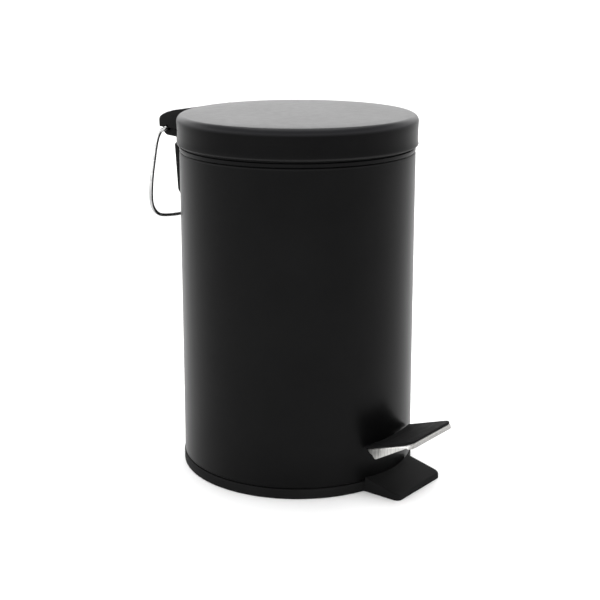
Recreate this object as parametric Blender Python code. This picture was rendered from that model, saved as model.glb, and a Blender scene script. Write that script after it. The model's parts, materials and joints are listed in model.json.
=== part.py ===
"""A small round pedal bin: steel body and lid, moulded base with a fixed step plate, pedal, push rod,
rear hinge, wire carry handle and a lift-out bucket.

Lengths below are in millimetres and become metres when a mesh is made. The origin is the centre of
the base's underside, +Z is up, the pedal points to -Y and the lid's hinge is at +Y.
"""

from math import atan2, cos, degrees, hypot, pi, radians, sin, sqrt

import bmesh
import bpy
from mathutils import Matrix, Vector

MM = 0.001
GAP = 0.3
ROUND = 60

# Body and base
SHEET = 0.7
BODY_R = 84.0
NECK_R = 82.6
BODY_BOTTOM = 7.5
BODY_TOP = 240.0
GROOVE_Z = 230.5
GROOVE_DEPTH = 0.7
SHOULDER_STEP_Z = 233.6
RIM_CURL_R = 1.6
BASE_R = 84.6
BASE_RING_TOP = 7.1
FLOOR_TOP = 3.5
UPSTAND_R = 80.4
UPSTAND_TOP = 12.5
STEP_HALF_WIDTH = 27.0
STEP_FRONT_Y = -109.0
STEP_CORNER_R = 4.0
STEP_FRONT_TOP, STEP_BACK_TOP = 3.6, 12.0

# Lid and its hinge
LID_R = 85.9
LID_TOP = 257.0
LID_HEM_Z = 235.2
LID_FIT_R = 86.2
LID_SHOULDER_R = 5.0
SHOULDER_Z = LID_TOP - LID_SHOULDER_R - 0.5
HINGE_Y, HINGE_Z = 100.0, 240.5
LID_OPEN = radians(72)
PIN_R = 2.0
KNUCKLE_R = 5.6
KNUCKLE_HALF = 21.9
EAR_INNER, EAR_OUTER = 22.3, 27.9
HOOD_HALF_WIDTH = 30.0

# Push rod, lid arm and pedal lever: the rod hangs vertically, ROD_Y from the axis, and its upper pin
# swings evenly above and below the lid's hinge. The pedal turns close behind the front wall, so the
# slot it comes out of is low and stays behind the tray.
ROD_Y = 76.5
ROD_R = 1.5
ARM_REACH = (HINGE_Y - ROD_Y) / cos(LID_OPEN / 2)
HALF_STROKE = ARM_REACH * sin(LID_OPEN / 2)
PEDAL_Y, PEDAL_Z = -60.0, 26.0
ROD_TOP_Z = HINGE_Z - HALF_STROKE
ROD_FOOT_Z = PEDAL_Z - HALF_STROKE
LEVER_REACH = hypot(ROD_Y - PEDAL_Y, HALF_STROKE)
LEVER_SLOPE = atan2(HALF_STROKE, ROD_Y - PEDAL_Y)
ROD_NEAREST_Y = HINGE_Y - ARM_REACH
ROD_SLOT_PLAY = 1.15
LEVER_SLOT_BOTTOM, LEVER_SLOT_TOP = 22.3, 33.5
LEVER_SLOT_HALF_WIDTH = 12.0

# Pedal tray, described along its own slope
TRAY_REAR_Y, TRAY_REAR_Z = -85.0, 34.7
TRAY_SLOPE = radians(18)
TRAY_HALF_WIDTH = 28.0
TRAY_LENGTH = 34.5
TRAY_CORNER_R = 7.0
TRAY_SHEET = 1.0
PAD_THICKNESS = 1.5
PEDAL_RIVET_X, PEDAL_RIVET_BACK = 12.0, -14.0

# Rear bracket, screws and handle
BRACKET_BACK_Y = 92.0
BRACKET_TOP_Z = 230.5
SCREW_X, SCREW_Z = 16.0, 212.0
RIVET_X, RIVET_Z = 15.0, 247.0
WIRE_R = 1.6

# Bucket
BUCKET_Y = -6.5
BUCKET_R = 71.5
BUCKET_FOOT_R = 66.0
BUCKET_BOTTOM = 46.0
BUCKET_WALL = 1.4
FLANGE_R = 83.2
FLANGE_Z = BODY_TOP + GAP
FLANGE_THICKNESS = 1.5
BAIL_Z = 244.0
BAIL_R = 1.4
BAIL_SWEEP_R = 73.0


def clear_scene():
    for obj in list(bpy.data.objects):
        bpy.data.objects.remove(obj, do_unlink=True)


# --- outlines -------------------------------------------------------------------------------------


def arc(u, v, radius, start, end, steps):
    """Points on an arc about (u, v), from one angle to another in degrees."""
    turns = [radians(start + (end - start) * i / steps) for i in range(steps + 1)]
    return [(u + radius * cos(t), v + radius * sin(t)) for t in turns]


def circle(u, v, radius, steps=24):
    return arc(u, v, radius, 0, 360, steps)[:-1]


def rounded(corners, steps=4):
    """An outline from (u, v, radius) corners, each rounded by its radius."""
    points = []
    for i, (u, v, radius) in enumerate(corners):
        here = Vector((u, v))
        before = (Vector(corners[i - 1][:2]) - here).normalized()
        after = (Vector(corners[(i + 1) % len(corners)][:2]) - here).normalized()
        if radius == 0:
            points.append((u, v))
            continue
        half = before.angle(after) / 2
        centre = here + (before + after).normalized() * radius / sin(half)
        first = here + before * radius / (sin(half) / cos(half)) - centre
        last = here + after * radius / (sin(half) / cos(half)) - centre
        for k in range(steps + 1):
            spoke = first.lerp(last, k / steps).normalized() * radius
            points.append(tuple(centre + spoke))
    return points


def hull(points):
    """The convex outline round a set of points."""
    ordered = sorted(set(points))
    outline = []
    for run in (ordered, ordered[::-1]):
        side = []
        for p in run:
            while len(side) > 1 and turn(side[-2], side[-1], p) <= 0:
                side.pop()
            side.append(p)
        outline += side[:-1]
    return outline


def turn(a, b, c):
    return (b[0] - a[0]) * (c[1] - a[1]) - (b[1] - a[1]) * (c[0] - a[0])


def stadium(start, end, radius, steps=8):
    """The outline of a slot between two centres."""
    angle = degrees(atan2(end[1] - start[1], end[0] - start[0]))
    return arc(*end, radius, angle - 90, angle + 90, steps) + arc(
        *start, radius, angle + 90, angle + 270, steps
    )


# --- solids ---------------------------------------------------------------------------------------


def place(name, bm):
    """An object from a bmesh drawn in millimetres."""
    bmesh.ops.recalc_face_normals(bm, faces=bm.faces)
    bmesh.ops.scale(bm, vec=(MM, MM, MM), verts=bm.verts)
    mesh = bpy.data.meshes.new(name)
    bm.to_mesh(mesh)
    bm.free()
    obj = bpy.data.objects.new(name, mesh)
    bpy.context.scene.collection.objects.link(obj)
    return obj


def prism(name, outline, axis, low, high):
    """An outline extruded along X, Y or Z. Its points are the other two coordinates, in order."""
    index = "XYZ".index(axis)
    bm = bmesh.new()
    ends = []
    for level in (low, high):
        ring = []
        for point in outline:
            co = list(point)
            co.insert(index, level)
            ring.append(bm.verts.new(co))
        ends.append(ring)
    bm.faces.new(ends[0])
    bm.faces.new(ends[1])
    for i in range(len(outline)):
        bm.faces.new((ends[0][i - 1], ends[0][i], ends[1][i], ends[1][i - 1]))
    return place(name, bm)


def block(name, x, y, z):
    return prism(name, [(x[0], y[0]), (x[1], y[0]), (x[1], y[1]), (x[0], y[1])], "Z", *z)


def turned(name, profile, centre_y=0.0, steps=ROUND):
    """A profile of (radius, z) points turned about a vertical axis. Points at radius 0 close it."""
    bm = bmesh.new()
    rings = []
    for radius, z in profile:
        if radius == 0:
            rings.append([bm.verts.new((0, centre_y, z))] * steps)
            continue
        angles = [2 * pi * (i + 0.5) / steps for i in range(steps)]
        rings.append([bm.verts.new((radius * cos(a), centre_y + radius * sin(a), z)) for a in angles])
    closed = profile[0][0] > 0
    for i in range(0 if closed else 1, len(rings)):
        for k in range(steps):
            corners = [rings[i - 1][k - 1], rings[i - 1][k], rings[i][k], rings[i][k - 1]]
            corners = list(dict.fromkeys(corners))
            if len(corners) > 2:
                bm.faces.new(corners)
    return place(name, bm)


def wire(name, points, radius, detail=2):
    """A round wire along points in millimetres, with flat ends."""
    curve = bpy.data.curves.new(name, "CURVE")
    curve.dimensions = "3D"
    curve.bevel_depth = radius * MM
    curve.bevel_resolution = detail
    curve.use_fill_caps = True
    spline = curve.splines.new("POLY")
    spline.points.add(len(points) - 1)
    for item, point in zip(spline.points, points):
        item.co = (point[0] * MM, point[1] * MM, point[2] * MM, 1)
    obj = bpy.data.objects.new(name, curve)
    bpy.context.scene.collection.objects.link(obj)
    return obj


def smooth_path(points, steps=3):
    """A Catmull-Rom curve through the points."""
    knots = [Vector(p) for p in points]
    knots = [2 * knots[0] - knots[1]] + knots + [2 * knots[-1] - knots[-2]]
    path = []
    for a, b, c, d in zip(knots, knots[1:], knots[2:], knots[3:]):
        for k in range(steps):
            t = k / steps
            bend = (2 * a - 5 * b + 4 * c - d) * t**2 + (3 * b - a - 3 * c + d) * t**3
            path.append((2 * b + (c - a) * t + bend) / 2)
    return path + [knots[-2]]


def combine(obj, operation, helpers):
    """Boolean modifiers on obj with helper shapes, which stay out of the model."""
    for helper in helpers:
        helper.hide_render = True
        helper.display_type = "WIRE"
        modifier = obj.modifiers.new(helper.name, "BOOLEAN")
        modifier.operation = operation
        modifier.solver = "EXACT"
        modifier.object = helper
    return obj


def join(obj, *helpers):
    return combine(obj, "UNION", helpers)


def cut(obj, *helpers):
    return combine(obj, "DIFFERENCE", helpers)


def keep_inside(obj, *helpers):
    return combine(obj, "INTERSECT", helpers)


def tilt_to_tray(obj):
    """Lays an object drawn level, with the tray's rear edge at Y 0, onto the pedal's slope."""
    obj.rotation_euler.x = -TRAY_SLOPE
    obj.location = (0, TRAY_REAR_Y * MM, TRAY_REAR_Z * MM)
    return obj


def finish(obj, colour, roughness, metallic=0.0):
    """A node's own material and smooth shading."""
    material = bpy.data.materials.new(obj.name)
    material.use_nodes = True
    shader = material.node_tree.nodes["Principled BSDF"]
    shader.inputs["Base Color"].default_value = (*colour, 1)
    shader.inputs["Roughness"].default_value = roughness
    shader.inputs["Metallic"].default_value = metallic
    obj.data.materials.append(material)
    if obj.type == "MESH":
        obj.data.shade_smooth()
        obj.data.set_sharp_from_angle(angle=radians(35))
    return obj


def powder_coat(obj):
    return finish(obj, (0.012, 0.012, 0.013), 0.42)


def black_plastic(obj):
    return finish(obj, (0.014, 0.014, 0.014), 0.55)


def bright_steel(obj):
    return finish(obj, (0.75, 0.74, 0.72), 0.28, 1.0)


def zinc_steel(obj):
    return finish(obj, (0.55, 0.55, 0.54), 0.35, 1.0)


# --- body and base --------------------------------------------------------------------------------


def make_body():
    inner = BODY_R - SHEET
    outside = [
        (BODY_R - 3.0, BODY_BOTTOM),
        (BODY_R - 0.6, BODY_BOTTOM),
        (BODY_R, BODY_BOTTOM + 0.6),
        (BODY_R, GROOVE_Z - 0.9),
        (BODY_R - GROOVE_DEPTH, GROOVE_Z - 0.2),
        (BODY_R - GROOVE_DEPTH, GROOVE_Z + 0.2),
        (BODY_R, GROOVE_Z + 0.9),
        (BODY_R, SHOULDER_STEP_Z - 0.6),
        (BODY_R - 0.6, SHOULDER_STEP_Z),
        (NECK_R, SHOULDER_STEP_Z + 0.1),
    ]
    rim = arc(NECK_R - RIM_CURL_R, BODY_TOP - RIM_CURL_R, RIM_CURL_R, 0, 180, 4)
    inside = [
        (NECK_R - 2.6, BODY_TOP - 3.0),
        (NECK_R - SHEET, BODY_TOP - 3.4),
        (NECK_R - SHEET, SHOULDER_STEP_Z - 0.6),
        (inner - 0.3, SHOULDER_STEP_Z - 0.7),
        (inner, SHOULDER_STEP_Z - 1.0),
        (inner, GROOVE_Z + 1.2),
        (inner - GROOVE_DEPTH, GROOVE_Z + 0.4),
        (inner - GROOVE_DEPTH, GROOVE_Z - 0.4),
        (inner, GROOVE_Z - 1.2),
        (inner, BODY_BOTTOM + SHEET),
        (BODY_R - 3.0, BODY_BOTTOM + SHEET),
    ]
    body = turned("outer_body", outside + rim + inside)
    half, low, high = LEVER_SLOT_HALF_WIDTH, LEVER_SLOT_BOTTOM, LEVER_SLOT_TOP
    slot = rounded([(-half, low, 3), (half, low, 3), (half, high, 4), (-half, high, 4)])
    cutters = [prism("lever_slot", slot, "Y", -95, -75)]
    for side in (-1, 1):
        hole = circle(side * SCREW_X, SCREW_Z, 1.8, 16)
        cutters.append(prism(f"screw_hole_{side}", hole, "Y", 70, 95))
    return powder_coat(cut(body, *cutters))


def step_plate():
    """The fixed foot in front: a rounded slab whose top falls from the body to its front edge."""
    outline = rounded(
        [
            (-STEP_HALF_WIDTH, STEP_FRONT_Y, STEP_CORNER_R),
            (STEP_HALF_WIDTH, STEP_FRONT_Y, STEP_CORNER_R),
            (STEP_HALF_WIDTH, -76, 0),
            (-STEP_HALF_WIDTH, -76, 0),
        ]
    )
    slab = prism("step_slab", outline, "Z", 0, 20)
    side = [
        (-70, 0),
        (STEP_FRONT_Y - 1, 0),
        (STEP_FRONT_Y - 1, STEP_FRONT_TOP - 0.4),
        (STEP_FRONT_Y, STEP_FRONT_TOP),
        (-82, STEP_BACK_TOP),
        (-70, STEP_BACK_TOP),
    ]
    return keep_inside(slab, prism("step_side", side, "X", -30, 30))


def tower(side):
    outline = hull(circle(PEDAL_Y, PEDAL_Z, 6) + [(PEDAL_Y - 11, 3.0), (PEDAL_Y + 11, 3.0)])
    return prism(f"tower_{side}", outline, "X", *sorted((side * 11.0, side * 14.0)))


def make_base():
    profile = [
        (0, 0),
        (16, 0),
        (16, 1.5),
        (72, 1.5),
        (73.5, 0),
        (BASE_R - 0.6, 0),
        (BASE_R, 0.6),
        (BASE_R, BASE_RING_TOP - 0.5),
        (BASE_R - 0.5, BASE_RING_TOP),
        (UPSTAND_R, BASE_RING_TOP),
        (UPSTAND_R, UPSTAND_TOP - 0.5),
        (UPSTAND_R - 1.4, UPSTAND_TOP),
        (UPSTAND_R - 2.0, UPSTAND_TOP - 0.5),
        (UPSTAND_R - 2.0, FLOOR_TOP),
        (0, FLOOR_TOP),
    ]
    base = turned("base", profile)
    ribs = []
    for i in range(6):
        rib = block(f"rib_{i}", (14, 75), (-1, 1), (0, 2.5))
        rib.rotation_euler.z = radians(60 * i + 30)
        ribs.append(rib)
    snaps = []
    for i in range(6):
        side = [(79.2, 10.9), (79.2, 8.6), (82.2, 8.6), (82.2, 9.2), (UPSTAND_R, 10.9)]
        snap = prism(f"snap_{i}", side, "Y", -5, 5)
        snap.rotation_euler.z = radians(60 * i)
        snaps.append(snap)
    over_body = [(BODY_R + 0.4, BASE_RING_TOP), (BODY_R + 0.4, 30), (60, 30), (60, BASE_RING_TOP)]
    step = cut(step_plate(), turned("body_clearance", over_body))
    rear_pocket = block("rear_pocket", (-9, 9), (70, 81), (FLOOR_TOP, 30))
    join(base, *ribs, *snaps, step, tower(-1), tower(1))
    pin_hole = prism("pivot_hole", circle(PEDAL_Y, PEDAL_Z, PIN_R + GAP, 16), "X", -20, 20)
    return black_plastic(cut(base, rear_pocket, pin_hole))


# --- pedal, lever and rod -------------------------------------------------------------------------


def on_lever(reach, offset=0.0):
    """A point in the YZ plane at a distance along the line from the pedal pin to the rod's foot."""
    return (
        PEDAL_Y + reach * cos(LEVER_SLOPE) + offset * sin(LEVER_SLOPE),
        PEDAL_Z - reach * sin(LEVER_SLOPE) + offset * cos(LEVER_SLOPE),
    )


def on_tray(forward, above=0.0):
    """A point in the YZ plane at a distance along the pedal's slope and above its top."""
    return (
        TRAY_REAR_Y - forward * cos(TRAY_SLOPE) + above * sin(TRAY_SLOPE),
        TRAY_REAR_Z + forward * sin(TRAY_SLOPE) + above * cos(TRAY_SLOPE),
    )


def make_lever():
    under_tray = -(PAD_THICKNESS + TRAY_SHEET + 2 * GAP)
    front = [
        on_tray(28, under_tray),
        on_tray(28, under_tray - 1.8),
        on_tray(3.5, under_tray - 1.8),
        on_tray(3.5, under_tray),
    ]
    lever = prism("pedal_lever", front, "X", -19, 19)
    tail = on_lever(LEVER_REACH - 16)
    bend = on_tray(-0.8, under_tray)
    strip = [
        on_tray(12, under_tray),
        on_tray(12, under_tray - 1.6),
        (bend[0], bend[1] - 1.8),
        (PEDAL_Y, 28.6),
        (tail[0], tail[1] + 1.6),
        (tail[0], tail[1] + 3.2),
        (PEDAL_Y, 30.2),
        bend,
    ]
    cheek = [
        (-80.5, 30.2),
        (-80.5, 27.4),
        (PEDAL_Y - 6, 21.8),
        (PEDAL_Y + 6, 21.2),
        (tail[0], tail[1] - 3.4),
        (tail[0], tail[1] + 2.6),
        (PEDAL_Y, 29.4),
    ]
    helpers = [prism("lever_strip", strip, "X", -10, 10)]
    for side in (-1, 1):
        helpers.append(prism(f"cheek_{side}", cheek, "X", *sorted((side * 8.5, side * 10.0))))
    slot_start, slot_end = on_lever(ROD_NEAREST_Y - PEDAL_Y - 0.5), on_lever(LEVER_REACH + 0.5)
    eye_start, eye_end = on_lever(LEVER_REACH - 24), on_lever(LEVER_REACH - 0.7)
    tongue = stadium(eye_start, eye_end, 4.2)
    helpers.append(prism("lever_tongue", tongue, "X", -1, 1))
    tie_start, tie_end = LEVER_REACH - 28, LEVER_REACH - 16.5
    tie = [on_lever(reach, 2.2) for reach in (tie_start, tie_end)]
    tie += [on_lever(reach, -2.2) for reach in (tie_end, tie_start)]
    helpers.append(prism("lever_tie", tie, "X", -9.2, 9.2))
    join(lever, *helpers)
    cutters = [
        prism("lever_pin_hole", circle(PEDAL_Y, PEDAL_Z, PIN_R + GAP, 16), "X", -20, 20),
        prism("rod_slot", stadium(slot_start, slot_end, ROD_R + ROD_SLOT_PLAY, 6), "X", -5, 5),
    ]
    for side in (-1, 1):
        hole = circle(side * PEDAL_RIVET_X, PEDAL_RIVET_BACK, 2.1, 16)
        cutters.append(tilt_to_tray(prism(f"lever_rivet_hole_{side}", hole, "Z", -8, 0)))
    return zinc_steel(cut(lever, *cutters))


def tray_outline(inset=0.0):
    half, front = TRAY_HALF_WIDTH - inset, -(TRAY_LENGTH - inset)
    radius = TRAY_CORNER_R - inset
    return rounded([(-half, 6, 0), (-half, front, radius), (half, front, radius), (half, 6, 0)], 6)


def make_tray():
    """A pressed tray: a flat top, a turned-down front lip and side flanges that deepen to the rear."""
    top = -(PAD_THICKNESS + GAP)
    tray = tilt_to_tray(prism("pedal_tray", tray_outline(), "Z", -12, top))
    side = [
        (6, 0),
        (2, -2.0),
        (-2.7, -9.3),
        (-30.0, -3.6),
        (-32.0, -5.0),
        (-TRAY_LENGTH - 2, -5.0),
        (-TRAY_LENGTH - 2, 0),
    ]
    keep_inside(tray, tilt_to_tray(prism("tray_side", side, "X", -40, 40)))
    hollow = tilt_to_tray(prism("tray_hollow", tray_outline(1.0), "Z", -14, top - TRAY_SHEET))
    wall = turned("tray_rear", [(86.0, 0), (86.0, 60), (0, 60), (0, 0)][::-1])
    cutters = [hollow, wall]
    for side in (-1, 1):
        hole = circle(side * PEDAL_RIVET_X, PEDAL_RIVET_BACK, 2.1, 16)
        cutters.append(tilt_to_tray(prism(f"tray_rivet_hole_{side}", hole, "Z", -8, 0)))
    return bright_steel(cut(tray, *cutters))


def make_pad():
    pad = tilt_to_tray(prism("pedal_pad", tray_outline(0.6), "Z", -PAD_THICKNESS, 0))
    wall = turned("pad_rear", [(85.4, 0), (85.4, 60), (0, 60), (0, 0)][::-1])
    return finish(cut(pad, wall), (0.016, 0.016, 0.016), 0.75)


def make_pedal_rivet(side, name):
    top = -(PAD_THICKNESS + GAP + 0.05)
    profile = [(0, -7.6), (2.4, -7.6), (3.3, -6.9), (3.3, -6.3), (1.8, -6.3), (1.8, top), (0, top)]
    rivet = turned(name, profile, PEDAL_RIVET_BACK, 16)
    for vertex in rivet.data.vertices:
        vertex.co.x += side * PEDAL_RIVET_X * MM
    return zinc_steel(tilt_to_tray(rivet))


def make_pedal_pin():
    shank = prism("pedal_pin", circle(PEDAL_Y, PEDAL_Z, PIN_R, 20), "X", -14.6, 16.8)
    head = prism("pedal_pin_head", circle(PEDAL_Y, PEDAL_Z, 3.6, 20), "X", -16.2, -14.3)
    return zinc_steel(join(shank, head))


def make_pin_clip():
    outline = arc(PEDAL_Y, PEDAL_Z, 4.4, 120, 420, 16) + arc(PEDAL_Y, PEDAL_Z, 2.3, 420, 120, 16)
    return zinc_steel(prism("pedal_pin_clip", outline, "X", 14.4, 15.3))


def make_rod():
    """A wire rod whose two ends turn through the lid arm's hole and the lever's slot."""
    side, bend = -5.0, 2.5
    path = [(4.4, ROD_Y, ROD_FOOT_Z)]
    path += [(x, ROD_Y, z) for x, z in arc(side + bend, ROD_FOOT_Z + bend, bend, -90, -180, 4)]
    path += [(x, ROD_Y, z) for x, z in arc(side + bend, ROD_TOP_Z - bend, bend, 180, 90, 4)]
    path.append((4.4, ROD_Y, ROD_TOP_Z))
    return zinc_steel(wire("push_rod", path, ROD_R))


def make_rod_clip(name, z):
    outline = circle(ROD_Y, z, 3.4, 16)
    clip = prism(name, outline, "X", 1.4, 2.6)
    bore = prism(name + "_bore", circle(ROD_Y, z, ROD_R + 0.15, 16), "X", 0, 4)
    return zinc_steel(cut(clip, bore))


# --- rear bracket and handle ----------------------------------------------------------------------


def make_bracket():
    outline = rounded([(-27, 190, 7), (27, 190, 7), (30, BRACKET_TOP_Z, 2), (-30, BRACKET_TOP_Z, 2)])
    bracket = prism("hinge_bracket", outline, "Y", 70, BRACKET_BACK_Y)
    pocket = rounded([(-25, 192.2, 5), (25, 192.2, 5), (28, 228.5, 2), (-28, 228.5, 2)])
    cut(bracket, prism("bracket_pocket", pocket, "Y", 60, BRACKET_BACK_Y - 2.0))
    helpers = []
    for side in (-1, 1):
        boss = circle(side * SCREW_X, SCREW_Z, 3.8, 16)
        helpers.append(prism(f"boss_{side}", boss, "Y", 75, BRACKET_BACK_Y - 1))
        span = sorted((side * EAR_INNER, side * EAR_OUTER))
        lobe = hull(circle(HINGE_Y, HINGE_Z, KNUCKLE_R) + [(91.5, 234.4), (91.5, 237.7)])
        helpers.append(prism(f"ear_{side}", lobe, "X", *span))
        root = [(86.9, 228), (BRACKET_BACK_Y, 228), (BRACKET_BACK_Y, 238.0), (86.9, 231)]
        helpers.append(prism(f"ear_root_{side}", root, "X", *span))
    join(bracket, *helpers)
    body = turned("bracket_seat", [(0, 180), (BODY_R + GAP, 180), (BODY_R + GAP, 260), (0, 260)])
    pin_hole = prism("ear_hole", circle(HINGE_Y, HINGE_Z, PIN_R + GAP, 16), "X", -35, 35)
    cutters = [body, pin_hole]
    for side in (-1, 1):
        hole = circle(side * SCREW_X, SCREW_Z, 1.7, 16)
        cutters.append(prism(f"boss_hole_{side}", hole, "Y", 70, 90.6))
    return black_plastic(cut(bracket, *cutters))


def headed_pin(name, x, z, shank, head, shank_r, head_r, second_head=None):
    """A rivet or a screw along Y: a shank span and one or two head spans."""
    pin = prism(name, circle(x, z, shank_r, 14), "Y", *shank)
    for i, span in enumerate(filter(None, (head, second_head))):
        join(pin, prism(f"{name}_head_{i}", circle(x, z, head_r, 14), "Y", *span))
    return pin


def make_bracket_screw(name, side):
    wall = sqrt((BODY_R - SHEET) ** 2 - (SCREW_X + 3) ** 2)
    head = (wall - 3.2, wall - 1.5)
    screw = headed_pin(name, side * SCREW_X, SCREW_Z, (wall - 2.5, 90.2), head, 1.4, 3.0)
    washer = prism(
        name.replace("screw", "washer"),
        circle(side * SCREW_X, SCREW_Z, 3.6, 16),
        "Y",
        wall - 1.2,
        wall - 0.4,
    )
    bore = prism(name + "_washer_bore", circle(side * SCREW_X, SCREW_Z, 1.7, 16), "Y", 60, 95)
    return zinc_steel(screw), zinc_steel(cut(washer, bore))


def handle_half():
    """The handle's centre line from the pivot stub to the middle of the grip, at +X."""
    return [
        (33.4, 103.6, 237.4),
        (36.0, 104.6, 230.5),
        (40.0, 104.0, 217.0),
        (43.8, 103.0, 203.0),
        (45.6, 102.2, 190.0),
        (44.2, 101.8, 182.4),
        (39.0, 101.6, 177.0),
        (30.0, 101.4, 174.6),
        (15.0, 101.2, 173.4),
        (0.0, 101.0, 173.0),
    ]


def make_handle():
    half = handle_half()
    stub = [(25.9, HINGE_Y, HINGE_Z), (30.6, HINGE_Y, HINGE_Z), (32.2, HINGE_Y + 1.2, HINGE_Z - 1.1)]
    sweep = smooth_path(half + [(-x, y, z) for x, y, z in half[-2::-1]])
    mirrored = [(-x, y, z) for x, y, z in stub[::-1]]
    return bright_steel(wire("carry_handle", stub + sweep + mirrored, WIRE_R))


# --- lid ------------------------------------------------------------------------------------------


def make_lid():
    shoulder = arc(LID_R - LID_SHOULDER_R, SHOULDER_Z, LID_SHOULDER_R, 86, 4, 5)
    outside = [(0, LID_TOP), (60, LID_TOP - 0.2)] + shoulder
    outside += [(LID_R - 0.3, 244.0), (LID_R, LID_HEM_Z + 1.0), (LID_R - 0.3, LID_HEM_Z)]
    inner_shoulder = arc(LID_R - LID_SHOULDER_R, SHOULDER_Z, LID_SHOULDER_R - SHEET, 4, 86, 4)
    inside = [(LID_R - 0.8, LID_HEM_Z), (LID_R - 1.0, LID_HEM_Z + 1.0), (LID_R - 1.0, 244.0)]
    inside += inner_shoulder + [(60, LID_TOP - 0.2 - SHEET), (0, LID_TOP - SHEET)]
    lid = turned("lid_shell", outside + inside)
    cutters = []
    for side in (-1, 1):
        hole = circle(side * RIVET_X, RIVET_Z, 1.8, 14)
        cutters.append(prism(f"lid_rivet_hole_{side}", hole, "Y", 70, 95))
    return powder_coat(cut(lid, *cutters))


def make_hood():
    """The lid's hinge: a curved hood over the pin, with a plate against the lid's skirt."""
    top = [(76, 255.9), (84.8, 255.6), (94.5, 254.0), (100, 252.4), (104, 250.5), (106.5, 248.7)]
    back = [(107.3, 246.5), (107.3, 243.5), (107.0, 241.2)]
    under = [(106.1, 241.2), (106.0, 243.8), (105.4, 246.0), (103.7, 248.3), (99.4, 250.3)]
    under += [(94.0, 251.8), (84.0, 253.4), (76, 253.8)]
    hood = prism("lid_hinge_hood", top + back + under, "X", -HOOD_HALF_WIDTH, HOOD_HALF_WIDTH)
    plate = [(76, 237), (88.3, 237), (88.3, 254.6), (76, 255.0)]
    helpers = [prism("hood_plate", plate, "X", -HOOD_HALF_WIDTH, HOOD_HALF_WIDTH)]
    cheek = [(76, 240), (88.3, 241.2), *top[1:], *back]
    for side in (-1, 1):
        span = sorted((side * (EAR_OUTER + GAP), side * HOOD_HALF_WIDTH))
        helpers.append(prism(f"hood_cheek_{side}", cheek, "X", *span))
    barrel = circle(HINGE_Y, HINGE_Z, 5.2)
    helpers.append(prism("hood_barrel", barrel, "X", -KNUCKLE_HALF, KNUCKLE_HALF))
    rib = [(87, 238), (87, 254), (94, 253), (100, 251.2), (104.6, 248), (104.6, 243), (99, 236.2)]
    for x in (-KNUCKLE_HALF, -1.0, KNUCKLE_HALF - 2.0):
        helpers.append(prism(f"hood_rib_{x}", rib, "X", x, x + 2.0))
    join(hood, *helpers)
    corner = HOOD_HALF_WIDTH
    behind = rounded([(-corner, 230, 0), (corner, 230, 0), (corner, 256.4, 8), (-corner, 256.4, 8)])
    keep_inside(hood, prism("hood_behind", behind, "Y", 60, 120))
    fit = [(0, 220), (LID_FIT_R, 220)]
    fit += arc(LID_R - LID_SHOULDER_R, SHOULDER_Z, LID_SHOULDER_R + GAP, 0, 90, 8)
    fit.append((0, LID_TOP))
    cutters = [turned("lid_clearance", fit)]
    cutters.append(prism("hood_pin_hole", circle(HINGE_Y, HINGE_Z, PIN_R + GAP, 16), "X", -35, 35))
    for side in (-1, 1):
        hole = circle(side * RIVET_X, RIVET_Z, 1.8, 14)
        cutters.append(prism(f"hood_rivet_hole_{side}", hole, "Y", 70, 89))
    return black_plastic(cut(hood, *cutters))


def make_lid_arm():
    """A steel arm inside the lid: a foot riveted to the skirt and a web that carries the rod."""
    foot_r = LID_R - 1.0 - GAP
    foot = [(foot_r, 243.4), (foot_r, 250.6), (foot_r - 1.2, 250.6), (foot_r - 1.2, 243.4)]
    arm = turned("lid_arm", foot)
    keep_inside(arm, block("arm_foot_width", (-21, 21), (60, 100), (240, 255)))
    web = [(84.0, 250.4), (76.0, 250.4), (72.6, 247.0), (72.4, 240.0)]
    web += arc(ROD_Y, ROD_TOP_Z, 3.5, 180, 350, 8)
    web += [(78.3, 232.0), (78.3, 241.6), (84.0, 243.8)]
    join(arm, prism("arm_web", web, "X", -1, 1))
    cutters = [prism("arm_eye", circle(ROD_Y, ROD_TOP_Z, ROD_R + 0.15, 16), "X", -5, 5)]
    for side in (-1, 1):
        hole = circle(side * RIVET_X, RIVET_Z, 1.8, 14)
        cutters.append(prism(f"arm_rivet_hole_{side}", hole, "Y", 70, 95))
    return zinc_steel(cut(arm, *cutters))


def make_lid_rivet(name, side):
    foot = sqrt((LID_R - 1.3 - 1.2) ** 2 - (RIVET_X + 3) ** 2)
    inner_head = (foot - 1.9, foot - 0.4)
    outer_head = (88.6, 90.0)
    span = (foot - 1.0, 89.0)
    x = side * RIVET_X
    return zinc_steel(headed_pin(name, x, RIVET_Z, span, inner_head, 1.5, 2.9, outer_head))


def make_hinge_pin():
    return zinc_steel(prism("hinge_pin", circle(HINGE_Y, HINGE_Z, PIN_R, 20), "X", -25.3, 25.3))


# --- bucket ---------------------------------------------------------------------------------------


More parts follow.
